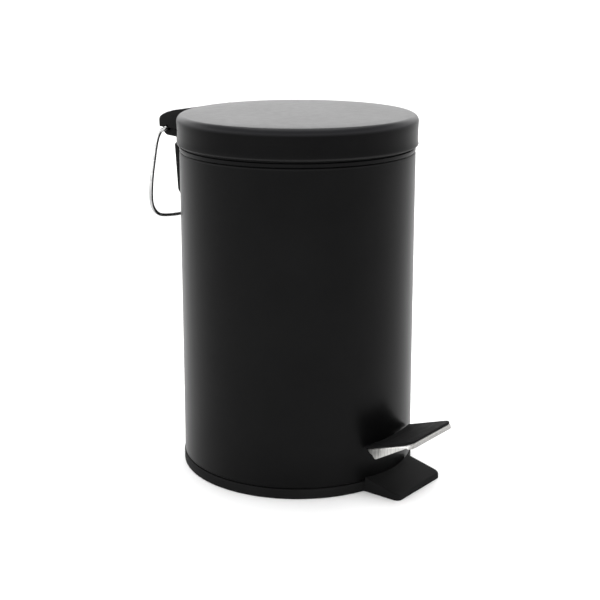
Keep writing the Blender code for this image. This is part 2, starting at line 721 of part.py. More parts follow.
def make_bucket():
    top_r = BUCKET_R - BUCKET_WALL
    outside = [(0, BUCKET_BOTTOM), (BUCKET_FOOT_R - 4, BUCKET_BOTTOM)]
    outside += [(BUCKET_FOOT_R, BUCKET_BOTTOM + 4), (BUCKET_R, FLANGE_Z + FLANGE_THICKNESS)]
    shell = turned("inner_bucket", outside + [(0, FLANGE_Z + FLANGE_THICKNESS)], BUCKET_Y)
    flange = [(0, FLANGE_Z), (FLANGE_R, FLANGE_Z), (FLANGE_R, FLANGE_Z + FLANGE_THICKNESS)]
    helpers = [turned("flange_disc", flange + [(0, FLANGE_Z + FLANGE_THICKNESS)])]
    for side in (-1, 1):
        ear = hull(circle(BUCKET_Y, BAIL_Z, 3.6, 20) + [(BUCKET_Y - 5.5, 241), (BUCKET_Y + 5.5, 241)])
        span = sorted((side * 76.0, side * 78.4))
        helpers.append(prism(f"bail_ear_{side}", ear, "X", *span))
    join(shell, *helpers)
    hollow = [(0, BUCKET_BOTTOM + 1.6), (BUCKET_FOOT_R - 5, BUCKET_BOTTOM + 1.6)]
    hollow += [(BUCKET_FOOT_R - BUCKET_WALL, BUCKET_BOTTOM + 5.2), (top_r, 242), (top_r, 244)]
    cavity = turned("bucket_cavity", hollow + [(0, 244)], BUCKET_Y)
    notch = rounded([(-24, 65.9, 3), (24, 65.9, 3), (24, 95, 0), (-24, 95, 0)])
    cutters = [cavity, prism("arm_notch", notch, "Z", 235, 250)]
    cutters.append(prism("bail_hole", circle(BUCKET_Y, BAIL_Z, BAIL_R + GAP, 16), "X", -90, 90))
    return finish(cut(shell, *cutters), (0.02, 0.02, 0.021), 0.5)


def make_bail():
    """The bucket's wire handle, lying forward on the flange."""
    path = [(-80.0, BUCKET_Y, BAIL_Z), (-74.2, BUCKET_Y, BAIL_Z)]
    path += [(x, y, BAIL_Z) for x, y in arc(0, BUCKET_Y, BAIL_SWEEP_R, 183, 357, 28)]
    path += [(74.2, BUCKET_Y, BAIL_Z), (80.0, BUCKET_Y, BAIL_Z)]
    return bright_steel(wire("bucket_bail", path, BAIL_R))


# --- assembly -------------------------------------------------------------------------------------


def hang_on(name, point, pieces, parent=None):
    """An empty on a joint's axis, which carries the pieces that move with that joint."""
    pivot = bpy.data.objects.new(name, None)
    pivot.empty_display_size = 0.02
    bpy.context.scene.collection.objects.link(pivot)
    here = Vector(point) * MM
    origin = Vector()
    if parent:
        origin = parent["point"]
        pivot.parent = parent["empty"]
    pivot.location = here - origin
    for piece in pieces:
        piece.parent = pivot
        piece.matrix_parent_inverse = Matrix.Translation(-here)
    return {"empty": pivot, "point": here}


def main():
    clear_scene()
    make_body()
    make_base()
    make_bracket()
    make_bracket_screw("bracket_screw_left", -1)
    make_bracket_screw("bracket_screw_right", 1)
    make_hinge_pin()
    make_pedal_pin()
    make_pin_clip()
    pedal = [
        make_lever(),
        make_tray(),
        make_pad(),
        make_pedal_rivet(-1, "pedal_rivet_left"),
        make_pedal_rivet(1, "pedal_rivet_right"),
    ]
    hang_on("pedal_axis", (0, PEDAL_Y, PEDAL_Z), pedal)
    lid = [
        make_lid(),
        make_hood(),
        make_lid_arm(),
        make_lid_rivet("lid_rivet_left", -1),
        make_lid_rivet("lid_rivet_right", 1),
    ]
    lid_axis = hang_on("lid_axis", (0, HINGE_Y, HINGE_Z), lid)
    rod = [
        make_rod(),
        make_rod_clip("rod_clip_top", ROD_TOP_Z),
        make_rod_clip("rod_clip_bottom", ROD_FOOT_Z),
    ]
    hang_on("rod_axis", (0, ROD_Y, ROD_TOP_Z), rod, lid_axis)
    hang_on("handle_axis", (0, HINGE_Y, HINGE_Z), [make_handle()])
    bucket_axis = hang_on("bucket_axis", (0, BUCKET_Y, BUCKET_BOTTOM), [make_bucket()])
    hang_on("bail_axis", (0, BUCKET_Y, BAIL_Z), [make_bail()], bucket_axis)


main()
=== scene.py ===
"""The look of the pedal bin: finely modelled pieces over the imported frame, their finishes, a plain
studio and a camera.

Shapes are drawn in millimetres and become metres when an object is made.
"""

import json
from math import cos, pi, radians, sin

import bmesh
import bpy
from mathutils import Matrix, Vector


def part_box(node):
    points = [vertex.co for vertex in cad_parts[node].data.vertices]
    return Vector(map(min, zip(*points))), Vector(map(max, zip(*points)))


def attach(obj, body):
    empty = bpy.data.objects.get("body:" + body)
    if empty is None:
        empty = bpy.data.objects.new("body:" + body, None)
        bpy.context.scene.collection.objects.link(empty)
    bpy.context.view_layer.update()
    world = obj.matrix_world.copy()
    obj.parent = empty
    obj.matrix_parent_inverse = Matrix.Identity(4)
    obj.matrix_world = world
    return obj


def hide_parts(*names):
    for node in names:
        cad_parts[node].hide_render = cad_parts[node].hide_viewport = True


MM = 0.001
SEGMENTS = 192
SHARP_ANGLE = radians(32)

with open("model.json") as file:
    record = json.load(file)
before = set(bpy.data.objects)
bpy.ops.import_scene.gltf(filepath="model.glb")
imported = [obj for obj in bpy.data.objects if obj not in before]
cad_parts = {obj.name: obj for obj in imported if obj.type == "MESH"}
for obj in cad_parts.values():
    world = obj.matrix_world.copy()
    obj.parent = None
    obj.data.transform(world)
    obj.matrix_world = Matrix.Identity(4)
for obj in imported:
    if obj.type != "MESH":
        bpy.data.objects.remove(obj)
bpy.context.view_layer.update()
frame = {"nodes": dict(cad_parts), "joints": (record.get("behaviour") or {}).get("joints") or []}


def joint_point(name):
    """A joint's point from the record, in millimetres."""
    joint = next(j for j in frame["joints"] if j["name"] == name)
    return [value / MM for value in joint["pos_m"]]


_, HINGE_Y, HINGE_Z = joint_point("lid_hinge")
_, PEDAL_Y, PEDAL_Z = joint_point("pedal_pivot")
_, ROD_Y, ROD_TOP_Z = joint_point("rod_pivot")
_, BUCKET_Y, BAIL_Z = joint_point("bail_swing")

BODY_R, NECK_R, FOLD_R, SHEET = 84.0, 82.6, 81.0, 0.7
BODY_BOTTOM, BODY_TOP, GROOVE_Z, NECK_Z = 7.5, 240.0, 230.5, 233.6
SLOT_HALF_WIDTH, SLOT_BOTTOM, SLOT_TOP = 12.0, 22.3, 33.5
BASE_R, BASE_RING_TOP, FLOOR_TOP = 84.6, 7.1, 3.5
UPSTAND_R, UPSTAND_TOP = 80.4, 12.5
TOWER_R, TOWER_FOOT, TOWER_INNER_X, TOWER_OUTER_X = 6.0, 11.0, 11.0, 14.0
STEP_HALF_WIDTH, STEP_CORNER_R, STEP_EDGE_R, STEP_GAP = 27.0, 4.0, 1.1, 1.1
STEP_FRONT_Y, STEP_BODY_Y, STEP_REAR_Y = -109.0, -82.0, -76.0
STEP_FRONT_TOP, STEP_BODY_TOP, STEP_RAMP_LENGTH = 3.6, 12.0, 25.5
LID_R, LID_TOP, LID_HEM_Z, LID_SHOULDER_R = 85.9, 257.0, 235.2, 5.0
HEM_RISE, HEM_HEIGHT = 0.8, 2.6
PIN_HOLE_R, FIXING_HOLE_R, PEDAL_RIVET_HOLE_R = 2.3, 1.8, 2.1
TRAY_REAR_Y, TRAY_REAR_Z, TRAY_SLOPE = -85.0, 34.7, radians(18)
TRAY_HALF_WIDTH, TRAY_LENGTH, TRAY_CORNER_R, TRAY_SHEET = 28.0, 34.5, 7.0, 1.0
PAD_THICKNESS, PAD_GAP = 1.5, 0.1
TRAY_CLEARANCE, PAD_CLEARANCE = 2.0, 1.4
PEDAL_RIVET_X, PEDAL_RIVET_BACK = 12.0, -14.0
SCREW_X, SCREW_Z = 16.0, 212.0
RIVET_X, RIVET_Z = 15.0, 247.0
BUCKET_R, BUCKET_FOOT_R, BUCKET_BOTTOM, BUCKET_WALL = 71.5, 66.0, 46.0, 1.4
FLANGE_R, FLANGE_Z, FLANGE_THICKNESS = 83.2, 240.3, 1.5
EAR_R, EAR_INNER_X, EAR_OUTER_X, EAR_FOOT_Z = 3.6, 76.0, 78.4, 241.0
NOTCH_HALF_WIDTH, NOTCH_Y = 24.0, 65.9
ROD_R, WIRE_R, BAIL_R, BAIL_SWEEP_R = 1.5, 1.6, 1.4, 73.0


# --- camera and studio ----------------------------------------------------------------------------


def add(name, data):
    obj = bpy.data.objects.new(name, data)
    bpy.context.scene.collection.objects.link(obj)
    return obj


def make_camera():
    """A long lens a little above the bin, with the pedal to its right and the hinge to its left."""
    azimuth, distance, height = radians(-51.87), 0.8896, 0.3673
    tilt, heading = radians(90 - 12.876), radians(-51.98)
    data = bpy.data.cameras.new("camera")
    data.sensor_width = 36
    data.lens = 75.5
    data.shift_y = -0.10
    camera = add("camera", data)
    camera.location = (sin(azimuth) * distance, -cos(azimuth) * distance, height)
    camera.rotation_euler = (tilt, 0, heading)
    bpy.context.scene.camera = camera


def softbox(name, location, target, size, power):
    data = bpy.data.lights.new(name, "AREA")
    data.shape = "RECTANGLE"
    data.size, data.size_y = size
    data.energy = power
    light = add(name, data)
    light.location = location
    aim = Vector(target) - Vector(location)
    light.rotation_euler = aim.to_track_quat("-Z", "Y").to_euler()


# The studio's light by height, from straight down to straight up: a bright band above the horizon, as
# from softboxes all round, and less from the ceiling. It is brighter on the hinge's side.
SKY_PEAK = 4.0
FRONT_LEVEL, REAR_LEVEL = 0.84, 1.08
SKY = ((-1.0, 0.8), (-0.02, 1.25), (0.04, 1.35), (0.3, 3.3), (0.48, 3.0), (0.62, 0.8), (1.0, 0.4))


def make_sky():
    world = bpy.data.worlds.new("studio")
    world.use_nodes = True
    bpy.context.scene.world = world
    tree = world.node_tree
    background = tree.nodes["Background"]
    height = tree.nodes.new("ShaderNodeSeparateXYZ")
    tree.links.new(tree.nodes.new("ShaderNodeTexCoord").outputs["Generated"], height.inputs[0])
    upward = tree.nodes.new("ShaderNodeMapRange")
    upward.inputs["From Min"].default_value = -1
    tree.links.new(height.outputs["Z"], upward.inputs["Value"])
    rearward = tree.nodes.new("ShaderNodeMapRange")
    rearward.inputs["From Min"].default_value = -1
    rearward.inputs["To Min"].default_value = SKY_PEAK * FRONT_LEVEL
    rearward.inputs["To Max"].default_value = SKY_PEAK * REAR_LEVEL
    tree.links.new(height.outputs["Y"], rearward.inputs["Value"])
    tree.links.new(rearward.outputs["Result"], background.inputs["Strength"])
    ramp = tree.nodes.new("ShaderNodeValToRGB")
    tree.links.new(upward.outputs["Result"], ramp.inputs["Fac"])
    tree.links.new(ramp.outputs["Color"], background.inputs["Color"])
    stops = ramp.color_ramp.elements
    while len(stops) < len(SKY):
        stops.new(0.5)
    for stop, (z, level) in zip(stops, SKY):
        stop.position = (z + 1) / 2
        stop.color = (level / SKY_PEAK,) * 3 + (1,)


def make_floor():
    mesh = bpy.data.meshes.new("floor")
    far = 14.0
    corners = [(-far, -far, 0), (far, -far, 0), (far, far, 0), (-far, far, 0)]
    mesh.from_pydata(corners, [], [(0, 1, 2, 3)])
    floor = add("floor", mesh)
    floor.location.z = -0.0002
    floor.data.materials.append(floor_paper())


def make_studio():
    make_sky()
    softbox("overhead", (0.3, 0.2, 1.6), (0, 0, 0.2), (1.2, 1.2), 20)
    make_floor()
    settings = bpy.context.scene.view_settings
    settings.view_transform = "Standard"
    settings.look = "None"


# --- finishes -------------------------------------------------------------------------------------


class Finish:
    """A procedural material, and the small set of node patterns that the finishes share."""

    def __init__(self, name, **constants):
        self.material = bpy.data.materials.new(name)
        self.material.use_nodes = True
        self.tree = self.material.node_tree
        self.shader = self.tree.nodes["Principled BSDF"]
        for socket, value in constants.items():
            self.shader.inputs[socket.replace("_", " ")].default_value = value
        self.coordinates = self.tree.nodes.new("ShaderNodeTexCoord").outputs["Object"]

    def node(self, kind, values=(), **links):
        node = self.tree.nodes.new(kind)
        for socket, value in dict(values).items():
            node.inputs[socket].default_value = value
        for socket, source in links.items():
            self.tree.links.new(source, node.inputs[socket])
        return node

    def stretched(self, scale):
        node = self.node("ShaderNodeMapping", Vector=self.coordinates)
        node.inputs["Scale"].default_value = scale
        return node.outputs["Vector"]

    def noise(self, scale, detail=3.0, vector=None, roughness=0.5):
        values = {"Scale": scale, "Detail": detail, "Roughness": roughness}
        return self.node("ShaderNodeTexNoise", values, Vector=vector or self.coordinates).outputs["Fac"]

    def cells(self, scale):
        node = self.node("ShaderNodeTexVoronoi", {"Scale": scale}, Vector=self.coordinates)
        return node.outputs["Distance"]

    def spread(self, source, low, high, start=0.3, end=0.7):
        """A source's middle range mapped to low..high."""
        values = {"From Min": start, "From Max": end, "To Min": low, "To Max": high}
        return self.node("ShaderNodeMapRange", values, Value=source).outputs["Result"]

    def product(self, a, b):
        node = self.node("ShaderNodeMath")
        node.operation = "MULTIPLY"
        self.tree.links.new(a, node.inputs[0])
        self.tree.links.new(b, node.inputs[1])
        return node.outputs[0]

    def sum(self, a, b, weight=1.0):
        """The first source plus a share of the second."""
        node = self.node("ShaderNodeMath")
        node.operation = "MULTIPLY_ADD"
        self.tree.links.new(b, node.inputs[0])
        node.inputs[1].default_value = weight
        self.tree.links.new(a, node.inputs[2])
        return node.outputs[0]

    def colours(self, source, dark, light, start=0.3, end=0.7):
        node = self.node("ShaderNodeValToRGB", Fac=source)
        for stop, position, colour in zip(node.color_ramp.elements, (start, end), (dark, light)):
            stop.position = position
            stop.color = (*colour, 1)
        self.tree.links.new(node.outputs["Color"], self.shader.inputs["Base Color"])

    def roughen(self, source):
        self.tree.links.new(source, self.shader.inputs["Roughness"])

    def reach(self, scale, start, end):
        """0 to 1 as the length of the stretched position goes from start to end, in millimetres."""
        node = self.node("ShaderNodeVectorMath")
        node.operation = "LENGTH"
        self.tree.links.new(self.stretched(scale), node.inputs[0])
        return self.spread(node.outputs["Value"], 0.0, 1.0, start * MM, end * MM)

    def wear_and_painted_light(self, amount, colour):
        """Mixes a colour over the base colour; the finishes use it for painted highlights and painted
        shade.
        """
        base = self.shader.inputs["Base Color"]
        node = self.node("ShaderNodeMixRGB", {"Color2": (*colour, 1)}, Fac=amount)
        self.tree.links.new(base.links[0].from_socket, node.inputs["Color1"])
        self.tree.links.new(node.outputs["Color"], base)

    def bump(self, height, strength, distance):
        node = self.node("ShaderNodeBump", {"Strength": strength, "Distance": distance}, Height=height)
        previous = self.shader.inputs["Normal"].links
        if previous:
            self.tree.links.new(previous[0].from_socket, node.inputs["Normal"])
        self.tree.links.new(node.outputs["Normal"], self.shader.inputs["Normal"])


def floor_paper():
    paper = Finish("floor_paper", Roughness=0.9, Specular_IOR_Level=0.1)
    paper.colours(paper.noise(3.0, 2.0), (0.955, 0.955, 0.955), (0.97, 0.97, 0.97))
    return paper.material


# Scales that leave one distance of a position: its height, its radius or its depth.
HEIGHT, RADIUS, DEPTH = (0, 0, 1), (1, 1, 0), (0, 1, 0)

# Where the painted light sets in, from none to full: painted highlights on the lid's shoulder and hem,
# painted shade on the tray's front lip. The lid's places are a pair of heights and a pair of radii.
SHOULDER_HIGHLIGHT = (LID_TOP - 5.8, LID_TOP - 3.8), (LID_R - 5.9, LID_R - 4.4)
HEM_HIGHLIGHT = (LID_HEM_Z + 1.6, LID_HEM_Z + 1.0), (LID_R - 1.3, LID_R - 0.7)
LIP_SHADE = 115.5, 117.2


def powder_coat(name="powder_coat", specular=0.062):
    """Satin black powder coat: a soft orange peel, slightly uneven gloss, a few dull rubs, and on the lid
    painted highlights, lighter bands along its shoulder and just above its hem."""
    coat = Finish(name, Specular_IOR_Level=specular)
    blotches = coat.noise(22.0, 4.0)
    rubs = coat.noise(160.0, 5.0, coat.stretched((1.0, 1.0, 0.12)))
    coat.colours(blotches, (0.0016, 0.0016, 0.0017), (0.0027, 0.0027, 0.0028))
    # Painted highlights: the lid's shoulder and the band above its hem are drawn lighter, as where light
    # catches them.
    for (heights, radii), blue in ((SHOULDER_HIGHLIGHT, 0.013), (HEM_HIGHLIGHT, 0.012)):
        painted_highlight = coat.product(coat.reach(HEIGHT, *heights), coat.reach(RADIUS, *radii))
        coat.wear_and_painted_light(painted_highlight, (0.012, 0.012, blue))
    coat.roughen(coat.sum(coat.spread(blotches, 0.285, 0.305), coat.spread(rubs, 0.0, 0.03)))
    coat.bump(coat.noise(900.0, 2.0), 0.10, 0.0003)
    coat.bump(coat.noise(3800.0, 2.0), 0.06, 0.0001)
    return coat.material


def moulded_black(name="moulded_black", roughness=0.5):
    """Fine-grained black moulding."""
    plastic = Finish(name, Specular_IOR_Level=0.022)
    wear_and_painted_light = plastic.noise(45.0, 5.0)
    plastic.colours(wear_and_painted_light, (0.0060, 0.0060, 0.0061), (0.0082, 0.0082, 0.0083))
    plastic.roughen(plastic.spread(wear_and_painted_light, roughness - 0.05, roughness + 0.07))
    plastic.bump(plastic.cells(1500.0), 0.22, 0.0002)
    plastic.bump(plastic.noise(500.0, 4.0), 0.12, 0.0003)
    return plastic.material


def pedal_rubber():
    """Matt tread with a pebbled grain and lighter, scuffed high spots."""
    rubber = Finish("pedal_rubber", Specular_IOR_Level=0.06)
    scuffs = rubber.noise(110.0, 6.0, rubber.stretched((0.5, 1.6, 1.0)), 0.62)
    rubber.colours(scuffs, (0.0036, 0.0036, 0.0038), (0.0085, 0.0083, 0.0083), 0.35, 0.72)
    rubber.roughen(rubber.spread(scuffs, 0.62, 0.82))
    rubber.bump(rubber.cells(950.0), 0.45, 0.0003)
    rubber.bump(rubber.noise(300.0, 5.0), 0.25, 0.0004)
    return rubber.material


def brushed_steel():
    """Bright sheet with its brushing lines running down over the edges, and a front lip painted darker as
    shade.
    """
    steel = Finish("brushed_steel", Metallic=1.0)
    fine = steel.noise(1.0, 5.0, steel.stretched((1900.0, 1500.0, 70.0)), 0.65)
    broad = steel.noise(1.0, 3.0, steel.stretched((420.0, 420.0, 25.0)))
    lines = steel.sum(steel.spread(fine, 0.0, 0.6), broad, 0.4)
    steel.colours(lines, (0.42, 0.415, 0.40), (0.80, 0.79, 0.77), 0.2, 0.75)
    # Painted shade: the tray's front lip is drawn darker, as where it reflects the dark step and floor.
    painted_lip_shade = steel.product(steel.reach(DEPTH, *LIP_SHADE), steel.spread(lines, 1.0, 0.72))
    steel.wear_and_painted_light(painted_lip_shade, (0.21, 0.205, 0.20))
    steel.roughen(steel.spread(lines, 0.26, 0.44, 0.2, 0.8))
    steel.bump(fine, 0.30, 0.0002)
    return steel.material


def chrome_wire(name="chrome_wire", tint=(0.40, 0.40, 0.40)):
    """Plated wire: bright, with drawing marks and faint dull specks."""
    chrome = Finish(name, Metallic=1.0)
    specks = chrome.noise(240.0, 5.0, roughness=0.6)
    dull, smoothest = tuple(0.82 * value for value in tint), 0.20
    chrome.colours(specks, dull, tint, 0.25, 0.55)
    chrome.roughen(chrome.spread(specks, smoothest + 0.12, smoothest, 0.3, 0.6))
    chrome.bump(chrome.noise(700.0, 3.0), 0.05, 0.0001)
    return chrome.material


def zinc_steel():
    """Dull zinc plate with a cloudy spangle."""
    zinc = Finish("zinc_steel", Metallic=1.0)
    cloud = zinc.noise(130.0, 5.0, roughness=0.6)
    spangle = zinc.cells(260.0)
    mottle = zinc.sum(zinc.spread(cloud, 0.0, 0.7), spangle, 0.35)
    zinc.colours(mottle, (0.36, 0.36, 0.36), (0.62, 0.62, 0.60), 0.1, 0.8)
    zinc.roughen(zinc.spread(mottle, 0.30, 0.50, 0.1, 0.9))
    zinc.bump(zinc.noise(900.0, 4.0), 0.12, 0.0001)
    return zinc.material


# --- outlines -------------------------------------------------------------------------------------


def arc(u, v, radius, start, end, steps=8):
    """Points on an arc about (u, v), from one angle to another in degrees."""
    turns = [radians(start + (end - start) * i / steps) for i in range(steps + 1)]
    return [(u + radius * cos(t), v + radius * sin(t)) for t in turns]


def circle(u, v, radius):
    return arc(u, v, radius, 0, 360, 48)[:-1]


def rounded(corners, steps=10):
    """An outline from (u, v, radius) corners, each rounded by its radius."""
    points = []
    for i, (u, v, radius) in enumerate(corners):
        if radius == 0:
            points.append((u, v))
            continue
        here = Vector((u, v))
        before = (Vector(corners[i - 1][:2]) - here).normalized()
        after = (Vector(corners[(i + 1) % len(corners)][:2]) - here).normalized()
        half = before.angle(after) / 2
        centre = here + (before + after).normalized() * radius / sin(half)
        first = here + before * radius / (sin(half) / cos(half)) - centre
        last = here + after * radius / (sin(half) / cos(half)) - centre
        for k in range(steps + 1):
            spoke = first.lerp(last, k / steps).normalized() * radius
            points.append(tuple(centre + spoke))
    return points


def oblong(left, right, bottom, top, bottom_radius=0, top_radius=0):
    """A rectangle's outline, with its lower and its upper corners rounded if asked."""
    lower = [(left, bottom, bottom_radius), (right, bottom, bottom_radius)]
    return rounded(lower + [(right, top, top_radius), (left, top, top_radius)])


def smooth_path(points, steps=10):
    """A Catmull-Rom curve through the points."""
    knots = [Vector(p) for p in points]
    knots = [2 * knots[0] - knots[1]] + knots + [2 * knots[-1] - knots[-2]]
    path = []
    for a, b, c, d in zip(knots, knots[1:], knots[2:], knots[3:]):
        for k in range(steps):
            t = k / steps
            bend = (2 * a - 5 * b + 4 * c - d) * t**2 + (3 * b - a - 3 * c + d) * t**3
            path.append((2 * b + (c - a) * t + bend) / 2)
    return path + [knots[-2]]


# --- solids ---------------------------------------------------------------------------------------


def place(name, bm):
    """An object from a bmesh drawn in millimetres."""
    bmesh.ops.recalc_face_normals(bm, faces=bm.faces)
    bmesh.ops.scale(bm, vec=(MM, MM, MM), verts=bm.verts)
    mesh = bpy.data.meshes.new(name)
    bm.to_mesh(mesh)
    bm.free()
    return add(name, mesh)


def loft(name, rings):
    """Rings of equally many points joined in order, with the first and the last capped."""
    bm = bmesh.new()
    loops = [[bm.verts.new(point) for point in ring] for ring in rings]
    bm.faces.new(loops[0])
    bm.faces.new(loops[-1])
    for low, high in zip(loops, loops[1:]):
        for i in range(len(low)):
            bm.faces.new((low[i - 1], low[i], high[i], high[i - 1]))
    return place(name, bm)


def prism(name, outline, axis, low, high):
    """An outline extruded along X, Y or Z. Its points are the other two coordinates, in order."""
    index = "XYZ".index(axis)
    rings = []
    for level in (low, high):
        ring = [list(point) for point in outline]
        for point in ring:
            point.insert(index, level)
        rings.append(ring)
    return loft(name, rings)


def turned(name, profile, centre=(0.0, 0.0)):
    """A profile of (radius, z) points turned about a vertical axis. Points at radius 0 close it."""
    bm = bmesh.new()
    rings = []
    for radius, z in profile:
        if radius == 0:
            rings.append([bm.verts.new((*centre, z))] * SEGMENTS)
            continue
        angles = [2 * pi * (i + 0.5) / SEGMENTS for i in range(SEGMENTS)]
        ring = [(centre[0] + radius * cos(a), centre[1] + radius * sin(a), z) for a in angles]
        rings.append([bm.verts.new(point) for point in ring])
    for i in range(0 if profile[0][0] > 0 else 1, len(rings)):
        for k in range(SEGMENTS):
            corners = [rings[i - 1][k - 1], rings[i - 1][k], rings[i][k], rings[i][k - 1]]
            corners = list(dict.fromkeys(corners))
            if len(corners) > 2:
                bm.faces.new(corners)
    return place(name, bm)


def settle(obj):
    """Puts the modifiers' result into the object's own mesh."""
    graph = bpy.context.evaluated_depsgraph_get()
    mesh = bpy.data.meshes.new_from_object(obj.evaluated_get(graph))
    obj.modifiers.clear()
    obj.data = mesh


def combine(obj, operation, helpers):
    """Joins, cuts or intersects an object with its helpers, which it uses up."""
    for helper in helpers:
        modifier = obj.modifiers.new(helper.name, "BOOLEAN")
        modifier.operation = operation
        modifier.solver = "EXACT"
        modifier.object = helper
    settle(obj)
    for helper in helpers:
        bpy.data.objects.remove(helper)
    return obj


def join(obj, *helpers):
    return combine(obj, "UNION", helpers)


def cut(obj, *helpers):
    return combine(obj, "DIFFERENCE", helpers)


def keep_inside(obj, *helpers):
    return combine(obj, "INTERSECT", helpers)


def soften(obj, width, steps=3, angle=35):
    """Rounds the sharp edges by a width in millimetres."""
    bevel = obj.modifiers.new("soft_edges", "BEVEL")
    bevel.width = width * MM
    bevel.segments = steps
    bevel.limit_method = "ANGLE"
    bevel.angle_limit = radians(angle)
    bevel.miter_outer = "MITER_ARC"
    settle(obj)
    return obj


def wire(name, points, radius):
    """A round wire along points, with rounded ends."""
    path = [Vector(point) * MM for point in points]
    tip = radius * MM * 0.4
    first = path[0] + (path[0] - path[1]).normalized() * tip
    last = path[-1] + (path[-1] - path[-2]).normalized() * tip
    path = [first, *path, last]
    curve = bpy.data.curves.new(name, "CURVE")
    curve.dimensions = "3D"
    curve.bevel_depth = radius * MM
    curve.bevel_resolution = 6
    curve.use_fill_caps = True
    spline = curve.splines.new("POLY")
    spline.points.add(len(path) - 1)
    for item, point in zip(spline.points, path):
        item.co = (*point, 1)
    for item in (spline.points[0], spline.points[-1]):
        item.radius = 0.6
    return add(name, curve)


def on_slope(obj):
    """Lays an object drawn level, with the tray's rear edge at Y 0, onto the pedal's slope."""
    there = Matrix.Translation((0, TRAY_REAR_Y * MM, TRAY_REAR_Z * MM))
    obj.data.transform(there @ Matrix.Rotation(-TRAY_SLOPE, 4, "X"))
    return obj


def show(obj, body, nodes, material):
    """Makes an object a piece: shaded, finished, and riding on its body in place of the CAD nodes."""
    if obj.type == "MESH":
        obj.data.shade_smooth()
        obj.data.set_sharp_from_angle(angle=SHARP_ANGLE)
    obj.data.materials.clear()
    obj.data.materials.append(material)
    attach(obj, body)
    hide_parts(*nodes)


def refined(node, body, material, width):
    """A CAD node's shape with its flat faces whole and its edges rounded."""
    bm = bmesh.new()
    bm.from_mesh(frame["nodes"][node].data)
    bmesh.ops.remove_doubles(bm, verts=bm.verts, dist=0.004 * MM)
    bmesh.ops.dissolve_limit(bm, angle_limit=radians(1.0), verts=bm.verts, edges=bm.edges)
    mesh = bpy.data.meshes.new(node + "_piece")
    bm.to_mesh(mesh)
    bm.free()
    show(soften(add(mesh.name, mesh), width), body, [node], material)


# --- the bin's body and base ----------------------------------------------------------------------


def make_body(coat):
    """The steel tube: a foot folded inwards, a groove, a neck that the lid covers and a rolled rim."""
    inner = BODY_R - SHEET
    outside = [(FOLD_R, BODY_BOTTOM)] + arc(BODY_R - 0.8, BODY_BOTTOM + 0.8, 0.8, -90, 0, 6)
    outside += [(BODY_R, z) for z in (30, 80, 130, 180, 215, GROOVE_Z - 1.8)]
    bead = ((0.02, -1.5), (0.32, -0.5), (0.85, -0.3), (1.05, 0.0), (0.85, 0.3), (0.10, 0.6))
    outside += [(BODY_R - depth, GROOVE_Z + rise) for depth, rise in bead]
    outside += [(BODY_R, GROOVE_Z + 1.2)] + arc(BODY_R - 0.7, NECK_Z - 0.7, 0.7, 0, 80, 6)
    outside += [(NECK_R + 0.3, NECK_Z + 0.05), (NECK_R, NECK_Z + 0.35)]
    rim = arc(NECK_R - 1.6, BODY_TOP - 1.6, 1.6, 0, 250, 16)
    inside = [(NECK_R - SHEET, BODY_TOP - 3.6), (NECK_R - SHEET, NECK_Z - 0.6)]
    inside += [(inner - 0.3, NECK_Z - 0.7), (inner, NECK_Z - 1.0), (inner, GROOVE_Z + 1.2)]
    inside += [(inner - 0.9, GROOVE_Z + 0.4), (inner - 0.9, GROOVE_Z - 0.4), (inner, GROOVE_Z - 1.2)]
    inside += [(inner, z) for z in (180, 80, BODY_BOTTOM + SHEET)] + [(FOLD_R, BODY_BOTTOM + SHEET)]
    body = turned("bin_shell", outside + rim + inside)
    slot = oblong(-SLOT_HALF_WIDTH, SLOT_HALF_WIDTH, SLOT_BOTTOM, SLOT_TOP, 3, 4)
    cutters = [prism("lever_slot", slot, "Y", -95, -75)]
    for side in (-1, 1):
        cutters.append(prism("screw_hole", circle(side * SCREW_X, SCREW_Z, FIXING_HOLE_R), "Y", 70, 95))
    show(cut(body, *cutters), "bin", ["outer_body"], coat)


def spoke(name, turn, inner, outer, half, low, high):
    """A radial block between two radii and two heights, turned about the axis by degrees."""
    angle = radians(turn)
    outline = []
    for x, y in oblong(inner, outer, -half, half):
        outline.append((x * cos(angle) - y * sin(angle), x * sin(angle) + y * cos(angle)))
    return prism(name, outline, "Z", low, high)


def make_base(plastic):
    """One moulding: ring, floor and ribs, the upstand in the body with its snap tabs, the step and the
    towers for the pedal's pin."""
    profile = [(0, 0), (16, 0), (16, 1.5), (72, 1.5), (73.5, 0)]
    profile += arc(BASE_R - 0.7, 0.7, 0.7, -90, 0, 5)
    profile += arc(BASE_R - 0.9, BASE_RING_TOP - 0.9, 0.9, 0, 90, 6)
    profile += [(UPSTAND_R, BASE_RING_TOP), (UPSTAND_R, UPSTAND_TOP - 0.5)]
    profile += [(UPSTAND_R - 1.0, UPSTAND_TOP), (UPSTAND_R - 2.0, UPSTAND_TOP - 0.5)]
    profile += [(UPSTAND_R - 2.0, FLOOR_TOP), (0, FLOOR_TOP)]
    base = turned("base_moulding", profile)
    additions = [make_step()]
    for i in range(6):
        additions.append(spoke("rib", 60 * i + 30, 14, 75, 1, 0, 2.5))
        additions.append(spoke("snap_tab", 60 * i, 79.2, 82.2, 5, 8.6, 10.6))
    foot = [(PEDAL_Y - TOWER_FOOT, 3.0), (PEDAL_Y + TOWER_FOOT, 3.0)]
    for side in (-1, 1):
        outline = arc(PEDAL_Y, PEDAL_Z, TOWER_R, 17, 163, 16) + foot
        faces = sorted((side * TOWER_INNER_X, side * TOWER_OUTER_X))
        additions.append(prism("tower", outline, "X", *faces))
    join(base, *additions)
    cut(
        base,
        prism("rear_pocket", oblong(-9, 9, 70, 81), "Z", FLOOR_TOP, 30),
        prism("pivot_hole", circle(PEDAL_Y, PEDAL_Z, PIN_HOLE_R), "X", -20, 20),
    )
    show(base, "bin", ["base"], plastic)


